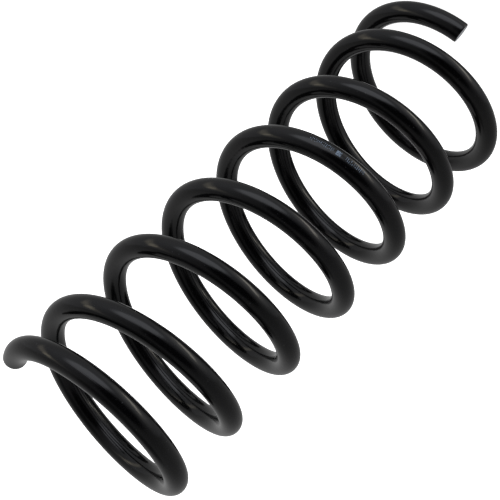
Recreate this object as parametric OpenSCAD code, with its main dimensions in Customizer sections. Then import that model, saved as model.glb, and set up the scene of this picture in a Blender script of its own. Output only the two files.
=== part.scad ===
// Automotive suspension coil spring: one round bar wound right-handed, with closed, unground ends.
// The bar is divided where it flexes: a seated coil at each end and the quarter turns between them.
// The frame is the spring standing on its lower seat, with Z up the coil axis and Z = 0 under the bar.

/* [Bar] */
// Diameter of the round bar
bar_d = 13; // [12:0.25:14]
// Radius left on the edge of each cut end
cut_edge_r = 0.8; // [0.4:0.1:1.5]

/* [Coil] */
// Mean coil diameter, from bar centre to bar centre
coil_d = 105; // [95:1:120]
// Turns from one cut end to the other
turns = 7.25; // [7.1:0.05:7.4]
// Rise per turn in the middle of the spring
pitch = 49; // [36:1:58]

/* [Lower end] */
// Rise per turn at the lower cut end
lower_end_pitch = 14.5; // [14:0.5:20]
// Turns over which the rise grows to the full pitch
lower_ramp_turns = 1.3; // [0.9:0.05:1.6]

/* [Upper end] */
// Rise per turn at the upper cut end
upper_end_pitch = 14; // [14:0.5:20]
// Turns over which the rise falls from the full pitch
upper_ramp_turns = 1.15; // [0.9:0.05:1.6]

/* [Hidden] */

black_coat = [0.10, 0.10, 0.11];
bar_r = bar_d / 2;
coil_r = coil_d / 2;

// Places along the bar are counted in turns from the lower cut end, which lies on the +X axis.
lower_seat_turns = 0.75;
upper_seat_start = 6.5;
quarter = 0.25;

// Facets around the bar, and rings in each quarter turn
bar_sides = 16;
rings_per_quarter = 8;
// Rings that round the edge of a cut end
edge_rings = 2;
// The rounded edge's length along the bar, in turns
cut_edge_turns = cut_edge_r / (PI * coil_d);

function clamp01(t) = min(max(t, 0), 1);

// A ramp from 0 to 1 with level ends, and the area under it
function ramp(t) = let (c = clamp01(t)) c * c * (3 - 2 * c);
function ramp_area(t) = let (c = clamp01(t)) pow(c, 3) - pow(c, 4) / 2;

// How far into each end's ramp a place is: 1 at the cut end, 0 where the full pitch is reached
function lower_part(u) = (lower_ramp_turns - u) / lower_ramp_turns;
function upper_part(u) = (u - turns + upper_ramp_turns) / upper_ramp_turns;

// Rise per turn at a place on the bar
function local_pitch(u) =
    pitch
    - (pitch - lower_end_pitch) * ramp(lower_part(u))
    - (pitch - upper_end_pitch) * ramp(upper_part(u));

// Height climbed by the bar's centre from the lower cut end, which is the local pitch added up
function climb(u) =
    pitch * u
    - (pitch - lower_end_pitch) * lower_ramp_turns * (ramp_area(1) - ramp_area(lower_part(u)))
    - (pitch - upper_end_pitch) * upper_ramp_turns * ramp_area(upper_part(u));

// Half the height of the bar's section, which the helix angle stretches a little
function half_height(u) = bar_r / cos(atan(local_pitch(u) / (PI * coil_d)));

// The underside of the lower cut end is at Z = 0
base_z = half_height(cut_edge_turns) - climb(cut_edge_turns);

// One ring around the bar, in the upright plane through the coil axis. inset makes it smaller.
function ring(u, inset) =
    let (
        size = 1 - inset / bar_r,
        turn_angle = 360 * u
    )
    [
        for (side = [0 : bar_sides - 1])
            let (
                a = 360 * side / bar_sides,
                reach = coil_r + size * bar_r * cos(a)
            )
            [
                reach * cos(turn_angle),
                reach * sin(turn_angle),
                base_z + climb(u) + size * half_height(u) * sin(a)
            ]
    ];

// The rings that round a cut edge. way is 1 at the lower end and -1 at the upper end.
function edge(u, way) = [
    for (i = [0 : edge_rings])
        let (a = 90 * i / edge_rings)
        ring(u + way * cut_edge_turns * (1 - cos(a)), cut_edge_r * (1 - sin(a)))
];

// Evenly spaced full-size rings from one place to another, without the first or the last if asked
function plain_rings(from, to, skip_first = 0, skip_last = 0) =
    let (count = ceil((to - from) / quarter * rings_per_quarter))
    [
        for (i = [skip_first : count - skip_last])
            ring(from + (to - from) * i / count, 0)
    ];

function reversed(list) = [for (i = [len(list) - 1 : -1 : 0]) list[i]];

// A closed solid through a list of rings
module bar_through(rings) {
    last = len(rings) - 1;
    points = [for (r = rings) each r];
    skin = [
        for (k = [0 : last - 1], side = [0 : bar_sides - 1])
            let (
                next = (side + 1) % bar_sides,
                a = k * bar_sides + side,
                b = k * bar_sides + next,
                c = (k + 1) * bar_sides + next,
                d = (k + 1) * bar_sides + side
            )
            each [[a, b, c], [a, c, d]]
    ];
    first_cap = [for (side = [bar_sides - 1 : -1 : 0]) side];
    last_cap = [for (side = [0 : bar_sides - 1]) last * bar_sides + side];
    polyhedron(points = points, faces = concat([first_cap], skin, [last_cap]));
}

// The seated coil at the bottom, from the lower cut end to where the bar begins to flex
module lower_end_coil() {
    color(black_coat)
        bar_through(concat(
            edge(0, 1),
            plain_rings(cut_edge_turns, lower_seat_turns, skip_first = 1)
        ));
}

// One quarter turn of flexing bar, counted from the lower seated coil
module active_quarter(index) {
    start = lower_seat_turns + index * quarter;
    color(black_coat)
        bar_through(plain_rings(start, start + quarter));
}

// The seated coil at the top, from the last flexing quarter to the upper cut end
module upper_end_coil() {
    color(black_coat)
        bar_through(concat(
            plain_rings(upper_seat_start, turns - cut_edge_turns, skip_last = 1),
            reversed(edge(turns, -1))
        ));
}

lower_end_coil();
active_quarter(0);  // turn_1_quarter_4
active_quarter(1);  // turn_2_quarter_1
active_quarter(2);  // turn_2_quarter_2
active_quarter(3);  // turn_2_quarter_3
active_quarter(4);  // turn_2_quarter_4
active_quarter(5);  // turn_3_quarter_1
active_quarter(6);  // turn_3_quarter_2
active_quarter(7);  // turn_3_quarter_3
active_quarter(8);  // turn_3_quarter_4
active_quarter(9);  // turn_4_quarter_1
active_quarter(10);  // turn_4_quarter_2
active_quarter(11);  // turn_4_quarter_3
active_quarter(12);  // turn_4_quarter_4
active_quarter(13);  // turn_5_quarter_1
active_quarter(14);  // turn_5_quarter_2
active_quarter(15);  // turn_5_quarter_3
active_quarter(16);  // turn_5_quarter_4
active_quarter(17);  // turn_6_quarter_1
active_quarter(18);  // turn_6_quarter_2
active_quarter(19);  // turn_6_quarter_3
active_quarter(20);  // turn_6_quarter_4
active_quarter(21);  // turn_7_quarter_1
active_quarter(22);  // turn_7_quarter_2
upper_end_coil();
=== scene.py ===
import math
from collections import namedtuple

import bpy
import numpy as np
from mathutils import Matrix, Quaternion, Vector


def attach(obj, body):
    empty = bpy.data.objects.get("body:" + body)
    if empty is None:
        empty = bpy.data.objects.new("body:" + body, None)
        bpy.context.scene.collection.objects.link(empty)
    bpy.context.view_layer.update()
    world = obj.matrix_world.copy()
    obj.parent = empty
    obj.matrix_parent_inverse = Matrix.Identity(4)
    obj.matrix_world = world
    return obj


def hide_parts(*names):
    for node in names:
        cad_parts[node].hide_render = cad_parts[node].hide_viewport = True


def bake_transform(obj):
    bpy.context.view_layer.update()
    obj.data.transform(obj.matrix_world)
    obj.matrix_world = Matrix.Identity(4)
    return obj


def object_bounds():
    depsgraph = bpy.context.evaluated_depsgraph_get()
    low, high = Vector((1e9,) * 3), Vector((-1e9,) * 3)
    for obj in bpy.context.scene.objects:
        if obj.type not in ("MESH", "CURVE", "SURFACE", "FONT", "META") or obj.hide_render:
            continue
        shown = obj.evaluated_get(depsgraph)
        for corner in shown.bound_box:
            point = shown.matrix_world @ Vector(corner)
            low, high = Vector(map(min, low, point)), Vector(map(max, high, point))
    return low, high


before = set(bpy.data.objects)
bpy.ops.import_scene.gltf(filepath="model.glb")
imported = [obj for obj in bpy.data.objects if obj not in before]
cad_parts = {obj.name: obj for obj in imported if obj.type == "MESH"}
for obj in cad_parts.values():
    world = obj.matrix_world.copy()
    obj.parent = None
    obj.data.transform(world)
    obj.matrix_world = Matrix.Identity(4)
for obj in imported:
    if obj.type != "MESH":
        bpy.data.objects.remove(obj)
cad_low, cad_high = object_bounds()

MM = 0.001
FULL_TURN = 2 * math.pi

# The spring, with the same driving sizes as its design. Places along the bar are in turns from
# the lower cut end, which lies on the +X axis.
BAR_RADIUS = 6.5 * MM
COIL_RADIUS = 52.5 * MM
TURNS = 7.25
PITCH = 49 * MM
LOWER_END_PITCH, LOWER_RAMP = 14.5 * MM, 1.3
UPPER_END_PITCH, UPPER_RAMP = 14 * MM, 1.15
CUT_EDGE = 0.8 * MM

# How the bar is divided by its motion: two seated ends, and quarter turns between them, each of which
# is drawn as several short lengths
LOWER_SEAT_END = 0.75
UPPER_SEAT_START = 6.5
QUARTER = 0.25
LENGTHS_PER_QUARTER = 4
SHORT_LENGTH = QUARTER / LENGTHS_PER_QUARTER

# How finely the bar is drawn
BAR_SIDES = 56
STEPS_PER_TURN = 320
EDGE_STEPS = 5

TURN_LENGTH = FULL_TURN * COIL_RADIUS
CUT_EDGE_TURNS = CUT_EDGE / TURN_LENGTH

LOWER, UPPER = "lower_end_coil", "upper_end_coil"


# ---------------------------------------------------------------- the coil's shape

def ramp(t):
    """Rises from 0 to 1 with level ends."""
    t = min(max(t, 0), 1)
    return t * t * (3 - 2 * t)


def ramp_area(t):
    """The area under ramp from 0 to t."""
    t = min(max(t, 0), 1)
    return t**3 - t**4 / 2


def lower_part(u):
    """How far a place lies into the lower ramp: 1 at the cut end, 0 at full pitch."""
    return (LOWER_RAMP - u) / LOWER_RAMP


def upper_part(u):
    """How far a place lies into the upper ramp: 0 at full pitch, 1 at the cut end."""
    return (u - TURNS + UPPER_RAMP) / UPPER_RAMP


def local_pitch(u):
    """Rise per turn at a place on the bar."""
    lower = (PITCH - LOWER_END_PITCH) * ramp(lower_part(u))
    upper = (PITCH - UPPER_END_PITCH) * ramp(upper_part(u))
    return PITCH - lower - upper


def climb(u):
    """Height of the bar's centre over the lower cut end, which is the local pitch added up."""
    lower = (PITCH - LOWER_END_PITCH) * LOWER_RAMP * (0.5 - ramp_area(lower_part(u)))
    upper = (PITCH - UPPER_END_PITCH) * UPPER_RAMP * ramp_area(upper_part(u))
    return PITCH * u - lower - upper


def half_height(u):
    """Half the height of the bar's upright section, which the helix angle stretches."""
    return BAR_RADIUS * math.hypot(1, local_pitch(u) / TURN_LENGTH)


BASE_Z = half_height(CUT_EDGE_TURNS) - climb(CUT_EDGE_TURNS)


def on_bar(u, around):
    """(point, outward direction) on the bar's surface. around is an angle in radians, 0 on the coil's
    outside and a quarter turn on the bar's top."""
    angle = FULL_TURN * u
    away = Vector((math.cos(angle), math.sin(angle), 0))
    along = Vector((-math.sin(angle), math.cos(angle), local_pitch(u) / TURN_LENGTH)).normalized()
    top = away.cross(along).normalized()
    outward = away * math.cos(around) + top * math.sin(around)
    return away * COIL_RADIUS + Vector((0, 0, BASE_Z + climb(u))) + outward * BAR_RADIUS, outward


# ---------------------------------------------------------------- small helpers

# The sockets of a colour Mix node, which share their names with its other kinds
MIX_FACTOR, MIX_FIRST, MIX_SECOND, MIX_COLOUR = 0, 6, 7, 2
# The yes-or-no output of a Random Value node, for the same reason
RANDOM_YES = 3


def colour(hex_value):
    """A hex sRGB colour as linear RGBA."""
    parts = [int(hex_value[i:i + 2], 16) / 255 for i in (1, 3, 5)]
    return [p / 12.92 if p <= 0.04045 else ((p + 0.055) / 1.055) ** 2.4 for p in parts] + [1.0]


def add(tree, kind, inputs=None, **settings):
    """Adds one node with its settings, and sets or links its inputs, which are named or numbered."""
    node = tree.nodes.new(kind)
    for key, value in settings.items():
        setattr(node, key, value)
    for key, value in (inputs or {}).items():
        if isinstance(value, bpy.types.NodeSocket):
            tree.links.new(value, node.inputs[key])
        else:
            node.inputs[key].default_value = value
    return node


def new_object(name, data):
    """An object in the scene, at the origin."""
    thing = bpy.data.objects.new(name, data)
    bpy.context.collection.objects.link(thing)
    return thing


def new_material(name):
    """A material with an empty node tree."""
    material = bpy.data.materials.new(name)
    material.use_nodes = True
    material.node_tree.nodes.clear()
    return material


def new_shape_tree(name, inputs, output):
    """An empty Geometry Nodes tree, with inputs given as name and type, and one geometry output."""
    tree = bpy.data.node_groups.new(name, "GeometryNodeTree")
    for label, kind in inputs.items():
        tree.interface.new_socket(label, in_out="INPUT", socket_type="NodeSocket" + kind)
    tree.interface.new_socket(output, in_out="OUTPUT", socket_type="NodeSocketGeometry")
    return tree


def run_nodes(thing, tree, values):
    """The plain mesh that a Geometry Nodes tree makes of an object, with its named inputs set."""
    modifier = thing.modifiers.new("nodes", "NODES")
    modifier.node_group = tree
    for item in tree.interface.items_tree:
        if item.in_out == "INPUT" and item.name in values:
            modifier[item.identifier] = values[item.name]
    thing.update_tag()
    bpy.context.view_layer.update()
    evaluated = thing.evaluated_get(bpy.context.evaluated_depsgraph_get())
    mesh = bpy.data.meshes.new_from_object(evaluated)
    thing.modifiers.remove(modifier)
    return mesh


# ---------------------------------------------------------------- materials

# The map that unrolls the bar: metres along it, and metres around it
BAR_MAP = "along_and_around"
POWDER_COAT_IOR = 1.52
INK_IOR = 1.48


def black_powder_coat():
    """Thermoset powder coat, sprayed and baked on shot-peened bar: near-black and glossy, with a faint
    orange-peel ripple from the melt, a slightly uneven gloss and a few specks of dust."""
    peel_crests = 2.5 * MM
    pit_spacing = 0.6 * MM
    dust_size = 1.1 * MM
    drift_length = 28 * MM
    line_length = 70 * MM
    line_spacing = 0.5 * MM

    material = new_material("black_powder_coat")
    tree = material.node_tree
    place = add(tree, "ShaderNodeTexCoord").outputs["Object"]

    # Tone and gloss drift over a few centimetres, as the spray's thickness does.
    drift = add(
        tree, "ShaderNodeTexNoise",
        {"Vector": place, "Scale": 1 / drift_length, "Detail": 3.0, "Roughness": 0.55},
    )
    tone = add(
        tree, "ShaderNodeMix",
        {MIX_FACTOR: drift.outputs[0], MIX_FIRST: colour("#010101"), MIX_SECOND: colour("#040405")},
        data_type="RGBA",
    )
    gloss = add(
        tree, "ShaderNodeMapRange",
        {"Value": drift.outputs[0], "From Min": 0.3, "From Max": 0.7, "To Min": 0.05, "To Max": 0.09},
    )
    # Only the highest peaks of a fine noise count as specks of dust.
    dust = add(tree, "ShaderNodeTexNoise", {"Vector": place, "Scale": 1 / dust_size, "Detail": 2.0})
    specks = add(
        tree, "ShaderNodeMapRange",
        {"Value": dust.outputs[0], "From Min": 0.72, "From Max": 0.80}, clamp=True,
    )
    dusted = add(
        tree, "ShaderNodeMix",
        {MIX_FACTOR: specks.outputs[0], MIX_FIRST: tone.outputs[MIX_COLOUR], MIX_SECOND: colour("#2A2B2D")},
        data_type="RGBA",
    )

    # Drawing the bar leaves die lines that run along it for some centimetres. Real ones are finer than
    # these, which are as coarse as they need to be to show.
    unrolled = add(tree, "ShaderNodeUVMap", uv_map=BAR_MAP)
    drawn = add(
        tree, "ShaderNodeMapping",
        {"Vector": unrolled.outputs[0], "Scale": (1 / line_length, 1 / line_spacing, 1.0)},
    )
    lines = add(
        tree, "ShaderNodeTexNoise",
        {"Vector": drawn.outputs[0], "Scale": 1.0, "Detail": 2.0, "Roughness": 0.6},
    )
    lined = add(
        tree, "ShaderNodeBump",
        {"Height": lines.outputs[0], "Strength": 0.85, "Distance": 0.05 * MM},
    )
    peel = add(
        tree, "ShaderNodeTexNoise",
        {"Vector": place, "Scale": 1 / peel_crests, "Detail": 1.5, "Roughness": 0.4},
    )
    rippled = add(
        tree, "ShaderNodeBump",
        {"Height": peel.outputs[0], "Strength": 0.10, "Distance": 0.25 * MM, "Normal": lined.outputs[0]},
    )
    pits = add(tree, "ShaderNodeTexNoise", {"Vector": place, "Scale": 1 / pit_spacing, "Detail": 1.0})
    pitted = add(
        tree, "ShaderNodeBump",
        {"Height": pits.outputs[0], "Strength": 0.05, "Distance": 0.06 * MM, "Normal": rippled.outputs[0]},
    )
    shader = add(
        tree, "ShaderNodeBsdfPrincipled",
        {"Base Color": dusted.outputs[MIX_COLOUR], "Roughness": gloss.outputs[0],
         "IOR": POWDER_COAT_IOR, "Normal": pitted.outputs[0]},
    )
    add(tree, "ShaderNodeOutputMaterial", {"Surface": shader.outputs[0]})
    return material


def coated_shear_face():
    """The bar's sheared end under a thin pass of the same coat: greyer and flatter in gloss, mottled, with
    the shear's parallel drag lines."""
    drag_spacing = 0.7 * MM
    mottle_size = 2.2 * MM

    material = new_material("coated_shear_face")
    tree = material.node_tree
    place = add(tree, "ShaderNodeTexCoord").outputs["Object"]
    # The drag lines run level across the face, so their pattern is drawn out sideways.
    stretched = add(tree, "ShaderNodeMapping", {"Vector": place, "Scale": (0.15, 0.15, 1.0)})
    drag = add(
        tree, "ShaderNodeTexNoise",
        {"Vector": stretched.outputs[0], "Scale": 1 / drag_spacing, "Detail": 3.0},
    )
    mottle = add(tree, "ShaderNodeTexNoise", {"Vector": place, "Scale": 1 / mottle_size, "Detail": 3.0})
    tone = add(
        tree, "ShaderNodeMix",
        {MIX_FACTOR: mottle.outputs[0], MIX_FIRST: colour("#4C4E51"), MIX_SECOND: colour("#96999D")},
        data_type="RGBA",
    )
    scored = add(
        tree, "ShaderNodeBump",
        {"Height": drag.outputs[0], "Strength": 0.35, "Distance": 0.2 * MM},
    )
    lumpy = add(
        tree, "ShaderNodeBump",
        {"Height": mottle.outputs[0], "Strength": 0.3, "Distance": 0.3 * MM, "Normal": scored.outputs[0]},
    )
    shader = add(
        tree, "ShaderNodeBsdfPrincipled",
        {"Base Color": tone.outputs[MIX_COLOUR], "Roughness": 0.34, "IOR": POWDER_COAT_IOR,
         "Normal": lumpy.outputs[0]},
    )
    add(tree, "ShaderNodeOutputMaterial", {"Surface": shader.outputs[0]})
    return material


def grey_marking_ink():
    """Fast-drying pigment ink jetted on the coat: matt, thin, patchy and blue-grey."""
    patch_size = 1.5 * MM

    material = new_material("grey_marking_ink")
    tree = material.node_tree
    place = add(tree, "ShaderNodeTexCoord").outputs["Object"]
    patchy = add(tree, "ShaderNodeTexNoise", {"Vector": place, "Scale": 1 / patch_size, "Detail": 2.0})
    tone = add(
        tree, "ShaderNodeMix",
        {MIX_FACTOR: patchy.outputs[0], MIX_FIRST: colour("#2A323D"), MIX_SECOND: colour("#71849B")},
        data_type="RGBA",
    )
    shader = add(
        tree, "ShaderNodeBsdfPrincipled",
        {"Base Color": tone.outputs[MIX_COLOUR], "Roughness": 0.55, "IOR": INK_IOR},
    )
    add(tree, "ShaderNodeOutputMaterial", {"Surface": shader.outputs[0]})
    return material


COAT = black_powder_coat()
SHEAR_FACE = coated_shear_face()
INK = grey_marking_ink()


# ---------------------------------------------------------------- the bar

def bar_path():
    """Places along the bar, in turns, and the bar's size there: 1, or less on a rounded cut edge."""
    edge = [i * math.pi / 2 / EDGE_STEPS for i in range(EDGE_STEPS)]
    lower = [
        (CUT_EDGE_TURNS * (1 - math.cos(a)), 1 - CUT_EDGE / BAR_RADIUS * (1 - math.sin(a))) for a in edge
    ]
    upper = [(TURNS - u, size) for u, size in reversed(lower)]
    first, last = CUT_EDGE_TURNS, TURNS - CUT_EDGE_TURNS
    steps = [k / STEPS_PER_TURN for k in range(1, math.ceil(TURNS * STEPS_PER_TURN))]
    middle = [first] + [u for u in steps if first < u < last] + [last]
    return lower + [(u, 1.0) for u in middle] + upper


def sweep_tree():
    """Geometry Nodes: a round bar swept along a path, with the path's own size at each point."""
    tree = new_shape_tree(
        "sweep_round_bar",
        {"Path": "Geometry", "Bar Radius": "Float", "Sides": "Int", "Finish": "Material"}, "Bar",
    )
    given = add(tree, "NodeGroupInput").outputs
    curve = add(tree, "GeometryNodeMeshToCurve", {"Mesh": given["Path"]})
    size = add(tree, "GeometryNodeInputNamedAttribute", {"Name": "size"}, data_type="FLOAT")
    upright = add(tree, "GeometryNodeSetCurveNormal", {"Curve": curve.outputs[0]}, mode="Z_UP")
    section = add(
        tree, "GeometryNodeCurvePrimitiveCircle",
        {"Resolution": given["Sides"], "Radius": given["Bar Radius"]}, mode="RADIUS",
    )
    swept = add(
        tree, "GeometryNodeCurveToMesh",
        {"Curve": upright.outputs[0], "Profile Curve": section.outputs[0], "Scale": size.outputs[0]},
    )
    smooth = add(tree, "GeometryNodeSetShadeSmooth", {"Geometry": swept.outputs[0]})
    real = add(tree, "GeometryNodeRealizeInstances", {"Geometry": smooth.outputs[0]})
    finished = add(
        tree, "GeometryNodeSetMaterial", {"Geometry": real.outputs[0], "Material": given["Finish"]},
    )
    add(tree, "NodeGroupOutput", {"Bar": finished.outputs[0]})
    return tree


def sweep_bar(path):
    """The whole bar from the sweep: for each place on the path, a ring of points and a ring of the outward
    directions there."""
    line = bpy.data.meshes.new("bar_path")
    points = [
        (COIL_RADIUS * math.cos(FULL_TURN * u), COIL_RADIUS * math.sin(FULL_TURN * u), BASE_Z + climb(u))
        for u, size in path
    ]
    line.from_pydata(points, [(i, i + 1) for i in range(len(points) - 1)], [])
    sizes = line.attributes.new("size", "FLOAT", "POINT")
    sizes.data.foreach_set("value", [size for u, size in path])
    holder = new_object("bar_path", line)
    mesh = run_nodes(
        holder, sweep_tree(), {"Bar Radius": BAR_RADIUS, "Sides": BAR_SIDES, "Finish": COAT},
    )
    bpy.data.objects.remove(holder)
    spots = np.empty(len(mesh.vertices) * 3, np.float32)
    outward = np.empty(len(mesh.vertices) * 3, np.float32)
    mesh.vertices.foreach_get("co", spots)
    mesh.vertex_normals.foreach_get("vector", outward)
    shape = (len(path), BAR_SIDES, 3)
    return spots.reshape(shape), outward.reshape(shape)


PATH = bar_path()
RINGS, OUTWARD = sweep_bar(PATH)
PATH_TURNS = np.array([u for u, size in PATH])


def ring_at(u):
    """The number of the ring nearest to a place on the bar."""
    return int(np.argmin(abs(PATH_TURNS - u)))


def side_faces(count):
    """The faces between a number of rings, pointing outwards."""
    faces = []
    for k in range(count - 1):
        here, ahead = k * BAR_SIDES, (k + 1) * BAR_SIDES
        for s in range(BAR_SIDES):
            following = (s + 1) % BAR_SIDES
            faces.append((here + s, here + following, ahead + following, ahead + s))
    return faces


def unroll(mesh, places):
    """Gives the mesh its side faces' places on the unrolled bar."""
    side_length = FULL_TURN * BAR_RADIUS / BAR_SIDES
    unrolled = mesh.uv_layers.new(name=BAR_MAP).data
    for face in list(mesh.polygons)[:(len(places) - 1) * BAR_SIDES]:
        closes_ring = face.index % BAR_SIDES == BAR_SIDES - 1
        for corner, point in zip(face.loop_indices, face.vertices):
            ring, side = divmod(point, BAR_SIDES)
            around = BAR_SIDES if closes_ring and side == 0 else side
            unrolled[corner].uv = (places[ring] * TURN_LENGTH, around * side_length)


def length_of_bar(name, start_u, end_u):
    """One closed length of the bar. Its end faces get the sheared finish where the bar itself ends."""
    a, b = ring_at(start_u), ring_at(end_u)
    points = RINGS[a:b + 1].reshape(-1, 3).tolist()
    sides = side_faces(b - a + 1)
    first = tuple(range(BAR_SIDES))[::-1]
    last = tuple(range(len(points) - BAR_SIDES, len(points)))
    mesh = bpy.data.meshes.new(name)
    mesh.from_pydata(points, [], sides + [first, last])
    mesh.materials.append(COAT)
    mesh.materials.append(SHEAR_FACE)
    first_face, last_face = list(mesh.polygons)[-2:]
    first_face.material_index = int(a == 0)
    last_face.material_index = int(b == len(PATH) - 1)
    mesh.polygons.foreach_set("use_smooth", [True] * len(sides) + [False, False])
    ends = [tuple(first_face.normal)] * BAR_SIDES + [tuple(last_face.normal)] * BAR_SIDES
    unroll(mesh, PATH_TURNS[a:b + 1])
    # The sides keep the whole bar's smooth shading, so that no joint between two lengths shows.
    around = [tuple(n) for n in OUTWARD[a:b + 1].reshape(-1, 3)]
    mesh.normals_split_custom_set([around[i] for face in sides for i in face] + ends)
    mesh.update()
    return new_object(name, mesh)


# ---------------------------------------------------------------- how the bar moves

# The quarter turns' nodes, from the lower end up
QUARTERS = [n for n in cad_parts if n.startswith("turn_")]
QUARTERS.sort(key=lambda n: [int(word) for word in n.split("_") if word.isdigit()])


def sink_with_spring(thing):
    """Bakes a short length's placement into its mesh."""
    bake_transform(thing)


def make_end(name, node, start_u, end_u):
    """A seated end coil, which moves as one with its body."""
    piece = length_of_bar(name, start_u, end_u)
    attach(piece, node)
    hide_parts(node)


def make_active_lengths():
    """The flexing bar, in short lengths, several to each quarter turn."""
    for i, node in enumerate(QUARTERS):
        for k in range(LENGTHS_PER_QUARTER):
            start_u = LOWER_SEAT_END + i * QUARTER + k * SHORT_LENGTH
            end_u = start_u + SHORT_LENGTH
            piece = length_of_bar(f"{node}_bar_{k + 1}", start_u, end_u)
            sink_with_spring(piece)
            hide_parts(node)


make_end("lower_end_bar", LOWER, 0, LOWER_SEAT_END)
make_end("upper_end_bar", UPPER, UPPER_SEAT_START, TURNS)
make_active_lengths()


# ---------------------------------------------------------------- ink marking

# A worn inspection marking runs along the coil's outside: two rows of plain ticks, each tick a column of
# jetted dots, and a block between them.
DOT_RADIUS = 0.2 * MM
DOT_THICKNESS = 0.03 * MM
DOT_SIDES = 8
DOT_SPACING = 1.6 * DOT_RADIUS
MARK_SEED = 7

# One stretch of the marking: where it lies, how high it is, how far apart its ticks are, and the share of
# its dots that wear has left
Marking = namedtuple("Marking", "start_u end_u height tick_pitch kept")
MARKINGS = (
    Marking(start_u=2.952, end_u=2.990, height=2.2 * MM, tick_pitch=1.1 * MM, kept=0.55),
    Marking(start_u=2.9945, end_u=3.003, height=2.8 * MM, tick_pitch=0.45 * MM, kept=0.85),
    Marking(start_u=3.008, end_u=3.052, height=2.2 * MM, tick_pitch=1.1 * MM, kept=0.45),
)


def dot_tree():
    """Geometry Nodes: a thin round dot on each point that chance keeps, lying flat on the bar."""
    tree = new_shape_tree(
        "jetted_dots",
        {"Points": "Geometry", "Dot Radius": "Float", "Dot Thickness": "Float", "Kept Share": "Float",
         "Seed": "Int", "Finish": "Material"}, "Dots",
    )
    given = add(tree, "NodeGroupInput").outputs
    points = add(tree, "GeometryNodeMeshToPoints", {"Mesh": given["Points"]})
    kept = add(
        tree, "FunctionNodeRandomValue",
        {"Probability": given["Kept Share"], "Seed": given["Seed"]}, data_type="BOOLEAN",
    )
    dot = add(
        tree, "GeometryNodeMeshCylinder",
        {"Vertices": DOT_SIDES, "Radius": given["Dot Radius"], "Depth": given["Dot Thickness"]},
    )
    outward = add(
        tree, "GeometryNodeInputNamedAttribute", {"Name": "outward"}, data_type="FLOAT_VECTOR",
    )
    facing = add(tree, "FunctionNodeAlignRotationToVector", {"Vector": outward.outputs[0]}, axis="Z")
    placed = add(
        tree, "GeometryNodeInstanceOnPoints",
        {"Points": points.outputs[0], "Selection": kept.outputs[RANDOM_YES], "Instance": dot.outputs[0],
         "Rotation": facing.outputs[0]},
    )
    real = add(tree, "GeometryNodeRealizeInstances", {"Geometry": placed.outputs[0]})
    finished = add(
        tree, "GeometryNodeSetMaterial", {"Geometry": real.outputs[0], "Material": given["Finish"]},
    )
    add(tree, "NodeGroupOutput", {"Dots": finished.outputs[0]})
    return tree


def dots_of(marking, start_u, end_u):
    """The places of a marking's dots between two places on the bar, with the outward directions there."""
    outer_turn = FULL_TURN * (COIL_RADIUS + BAR_RADIUS)
    rows = int(marking.height / DOT_SPACING)
    ticks = int((marking.end_u - marking.start_u) * outer_turn / marking.tick_pitch)
    heights = [(row / (rows - 1) - 0.5) * marking.height for row in range(rows)]
    spots = []
    for tick in range(ticks):
        u = marking.start_u + tick * marking.tick_pitch / outer_turn
        if start_u <= u < end_u:
            spots += [on_bar(u, height / BAR_RADIUS) for height in heights]
    return spots


def make_dots(name, spots, tree, kept, seed):
    """One piece of the marking, from the places of its dots."""
    mesh = bpy.data.meshes.new(name)
    mesh.from_pydata([point for point, outward in spots], [], [])
    facing = mesh.attributes.new("outward", "FLOAT_VECTOR", "POINT")
    facing.data.foreach_set("vector", [part for point, outward in spots for part in outward])
    holder = new_object(name + "_points", mesh)
    dots = run_nodes(holder, tree, {
        "Dot Radius": DOT_RADIUS, "Dot Thickness": DOT_THICKNESS,
        "Kept Share": kept, "Seed": seed, "Finish": INK,
    })
    bpy.data.objects.remove(holder)
    return new_object(name, dots)


def make_markings():
    """Each marking's dots, a piece for each length of bar that they lie on."""
    tree = dot_tree()
    for i, marking in enumerate(MARKINGS, 1):
        first = math.floor((marking.start_u - LOWER_SEAT_END) / SHORT_LENGTH)
        last = math.floor((marking.end_u - LOWER_SEAT_END) / SHORT_LENGTH)
        for k in range(first, last + 1):
            start_u = LOWER_SEAT_END + k * SHORT_LENGTH
            end_u = start_u + SHORT_LENGTH
            spots = dots_of(marking, start_u, end_u)
            if spots:
                name = f"ink_marking_{i}_{k - first + 1}"
                piece = make_dots(name, spots, tree, marking.kept, MARK_SEED + k)
                sink_with_spring(piece)


make_markings()


# ---------------------------------------------------------------- camera and floor

CENTRE = Vector((0, 0, BASE_Z + climb(TURNS) / 2))
CAMERA_DISTANCE = 0.6886
CAMERA_AZIMUTH = -8.6
CAMERA_ELEVATION = 27.77
CAMERA_ROLL = 134.77
# The place that the camera looks at, from the spring's centre
AIM = Vector((-6.5, 6.6, 15.0)) * MM
FOCAL_LENGTH, SENSOR_WIDTH = 86.2, 36

FLOOR_SIZE = 12.0
FLOOR_GAP = 0.1 * MM


def make_camera():
    """The camera looks down at the spring and is turned on its side, so that the spring lies across the
    frame. Returns how it is turned."""
    data = bpy.data.cameras.new("camera")
    data.sensor_width = SENSOR_WIDTH
    data.lens = FOCAL_LENGTH
    data.clip_start, data.clip_end = 0.01, 50
    camera = new_object("camera", data)
    azimuth, elevation = math.radians(CAMERA_AZIMUTH), math.radians(CAMERA_ELEVATION)
    level = math.cos(elevation)
    away = Vector((math.cos(azimuth) * level, math.sin(azimuth) * level, math.sin(elevation)))
    camera.location = CENTRE + away * CAMERA_DISTANCE
    look = (CENTRE + AIM - camera.location).normalized()
    upright = look.to_track_quat("-Z", "Y")
    camera.rotation_mode = "QUATERNION"
    camera.rotation_quaternion = Quaternion(look, math.radians(CAMERA_ROLL)) @ upright
    bpy.context.scene.camera = camera
    return camera.rotation_quaternion.copy()


VIEW = make_camera()


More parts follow.
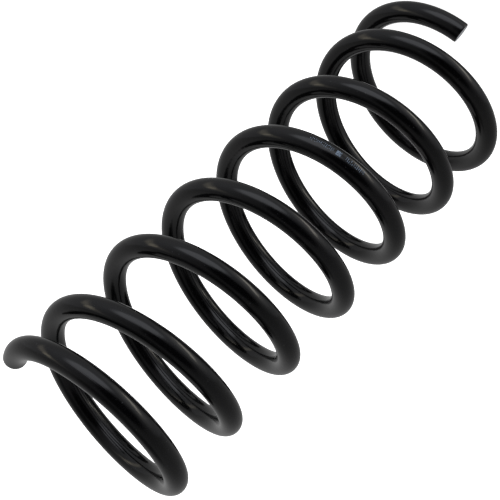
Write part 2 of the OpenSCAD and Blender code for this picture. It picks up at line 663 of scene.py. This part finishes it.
def make_floor():
    """A plain pale floor, lit a little from within like a light table, so that hardly a shadow lies on it."""
    half = FLOOR_SIZE / 2
    mesh = bpy.data.meshes.new("floor")
    corners = [(-half, -half, 0), (half, -half, 0), (half, half, 0), (-half, half, 0)]
    mesh.from_pydata(corners, [], [(0, 1, 2, 3)])
    floor = new_object("floor", mesh)
    floor.location.z = cad_low.z - FLOOR_GAP
    # The coat's gloss sees the studio all round, below the floor's level too.
    floor.visible_glossy = False
    floor.visible_shadow = False
    material = new_material("pale_floor")
    tree = material.node_tree
    shader = add(
        tree, "ShaderNodeBsdfPrincipled",
        {"Base Color": colour("#F4F4F4"), "Roughness": 0.9, "Specular IOR Level": 0.0,
         "Emission Color": colour("#FFFFFF"), "Emission Strength": 0.9},
    )
    add(tree, "ShaderNodeOutputMaterial", {"Surface": shader.outputs[0]})
    mesh.materials.append(material)


# ---------------------------------------------------------------- studio light

# The coat is so dark that what shows of it is what its gloss reflects: a dim grey room, brighter behind the
# spring than behind the camera, with soft-edged white cards and black flags.
ROOM_BEHIND_SPRING, ROOM_BEHIND_CAMERA = 0.36, 0.08
EVEN_LIGHT = 1.0

# Angles are in degrees. A place is right and up of the camera, as its frame has them, seen from the spring.
# softness is how far a card's edge fades, inwards and outwards alike, as a share of its half width.
Card = namedtuple("Card", "right up width height softness brightness tint")
SOFTBOX = Card(-8, 44, width=58, height=42, softness=0.24, brightness=0.86, tint="#F4F7FF")
CARDS = (
    SOFTBOX,
    # the ceiling that the softbox lights
    Card(0, 58, width=150, height=74, softness=0.60, brightness=0.30, tint="#F2F5FF"),
    # a bright strip on the right and its glow
    Card(68, 48, width=9, height=42, softness=0.45, brightness=2.30, tint="#FFF8E8"),
    Card(64, 42, width=34, height=60, softness=0.60, brightness=0.40, tint="#FFFCF6"),
    # a warm strip on the left, with a brighter foot
    Card(-77, 32, width=10, height=54, softness=0.60, brightness=0.60, tint="#FFF3D6"),
    Card(-77, 16, width=9, height=16, softness=0.50, brightness=0.80, tint="#FFF3D6"),
    # low cards behind the spring, which pick out its edges
    Card(-95, -110, width=70, height=70, softness=0.60, brightness=0.07, tint="#FFFFFF"),
    Card(0, 180, width=90, height=90, softness=0.50, brightness=0.05, tint="#FFFFFF"),
)

# A flag leaves the given share of the light inside its inner angle, and all of it past its outer angle.
Flag = namedtuple("Flag", "right up inner outer left")
FLAGS = (
    Flag(4, -10, inner=18, outer=38, left=0.02),
    Flag(-46, -46, inner=6, outer=26, left=0.35),
    Flag(-28, -82, inner=4, outer=22, left=0.30),
    Flag(82, 84, inner=8, outer=28, left=0.40),
    Flag(70, -115, inner=10, outer=60, left=0.70),
)

SOFTBOX_DISTANCE, SOFTBOX_WIDTH, SOFTBOX_WATTS = 1.4, 1.2, 5.0


def toward(right, up):
    """A direction from the spring, in degrees right and up of the camera."""
    angle = math.radians(math.hypot(right, up))
    turn = math.atan2(up, right)
    across = math.sin(angle)
    return VIEW @ Vector((across * math.cos(turn), across * math.sin(turn), math.cos(angle)))


def axes_at(right, up):
    """The direction to a place in the studio, and the directions there along its width and its height."""
    back = toward(right, up)
    top = (toward(right, up + 1) - toward(right, up - 1)).normalized()
    return back, top.cross(back), top


def card_light(tree, way, card):
    """The light that the studio gets from one soft-edged oval card."""
    back, side, top = axes_at(card.right, card.up)
    ahead = add(tree, "ShaderNodeVectorMath", {0: way, 1: back}, operation="DOT_PRODUCT")
    across = add(
        tree, "ShaderNodeVectorMath",
        {0: way, 1: side / math.sin(math.radians(card.width / 2))}, operation="DOT_PRODUCT",
    )
    upward = add(
        tree, "ShaderNodeVectorMath",
        {0: way, 1: top / math.sin(math.radians(card.height / 2))}, operation="DOT_PRODUCT",
    )
    place = add(
        tree, "ShaderNodeCombineXYZ", {"X": across.outputs["Value"], "Y": upward.outputs["Value"]},
    )
    reach = add(tree, "ShaderNodeVectorMath", {0: place.outputs[0]}, operation="LENGTH")
    glow = add(
        tree, "ShaderNodeMapRange",
        {"Value": reach.outputs["Value"], "From Min": 1 + card.softness, "From Max": 1 - card.softness,
         "To Min": 0.0, "To Max": card.brightness},
        interpolation_type="SMOOTHSTEP",
    )
    # The same distances hold on the far side of the studio, where there is no card.
    in_front = add(tree, "ShaderNodeMath", {0: ahead.outputs["Value"], 1: 0.0}, operation="GREATER_THAN")
    level = add(
        tree, "ShaderNodeMath", {0: glow.outputs[0], 1: in_front.outputs[0]}, operation="MULTIPLY",
    )
    return add(
        tree, "ShaderNodeVectorMath",
        {0: colour(card.tint)[:3], "Scale": level.outputs[0]}, operation="SCALE",
    ).outputs[0]


def flagged(tree, way, light, flag):
    """The studio's light with one flag in it."""
    nearness = add(
        tree, "ShaderNodeVectorMath", {0: way, 1: toward(flag.right, flag.up)}, operation="DOT_PRODUCT",
    )
    dimmed = add(
        tree, "ShaderNodeMapRange",
        {"Value": nearness.outputs["Value"], "From Min": math.cos(math.radians(flag.outer)),
         "From Max": math.cos(math.radians(flag.inner)), "To Min": 1.0, "To Max": flag.left},
        interpolation_type="SMOOTHSTEP",
    )
    return add(
        tree, "ShaderNodeVectorMath", {0: light, "Scale": dimmed.outputs[0]}, operation="SCALE",
    ).outputs[0]


def make_studio():
    """Even white light all round, but for the gloss, which sees the room with its cards and flags."""
    world = bpy.data.worlds.new("studio")
    bpy.context.scene.world = world
    world.use_nodes = True
    tree = world.node_tree
    tree.nodes.clear()
    way = add(tree, "ShaderNodeTexCoord").outputs["Generated"]
    facing = add(tree, "ShaderNodeVectorMath", {0: way, 1: toward(0, 0)}, operation="DOT_PRODUCT")
    grey = add(
        tree, "ShaderNodeMapRange",
        {"Value": facing.outputs["Value"], "From Min": -1.0, "From Max": 1.0,
         "To Min": ROOM_BEHIND_SPRING, "To Max": ROOM_BEHIND_CAMERA},
    )
    room = add(
        tree, "ShaderNodeVectorMath",
        {0: colour("#FFFFFF")[:3], "Scale": grey.outputs[0]}, operation="SCALE",
    ).outputs[0]
    for card in CARDS:
        light = card_light(tree, way, card)
        room = add(tree, "ShaderNodeVectorMath", {0: room, 1: light}, operation="ADD").outputs[0]
    for flag in FLAGS:
        room = flagged(tree, way, room, flag)
    seen = add(tree, "ShaderNodeBackground", {"Color": room})
    even = add(tree, "ShaderNodeBackground", {"Color": colour("#FFFFFF"), "Strength": EVEN_LIGHT})
    path = add(tree, "ShaderNodeLightPath")
    mixed = add(
        tree, "ShaderNodeMixShader",
        {0: path.outputs["Is Glossy Ray"], 1: even.outputs[0], 2: seen.outputs[0]},
    )
    add(tree, "ShaderNodeOutputWorld", {"Surface": mixed.outputs[0]})


def make_softbox():
    """The softbox as a lamp, for everything but the gloss, which sees its card instead."""
    data = bpy.data.lights.new("softbox", "AREA")
    data.shape = "SQUARE"
    data.size = SOFTBOX_WIDTH
    data.energy = SOFTBOX_WATTS
    light = new_object("softbox", data)
    back, side, top = axes_at(SOFTBOX.right, SOFTBOX.up)
    light.location = CENTRE + back * SOFTBOX_DISTANCE
    light.rotation_mode = "QUATERNION"
    light.rotation_quaternion = Matrix((side, top, back)).transposed().to_quaternion()
    light.visible_camera = False
    light.visible_glossy = False


make_floor()
make_studio()
make_softbox()
bpy.context.scene.view_settings.view_transform = "Standard"
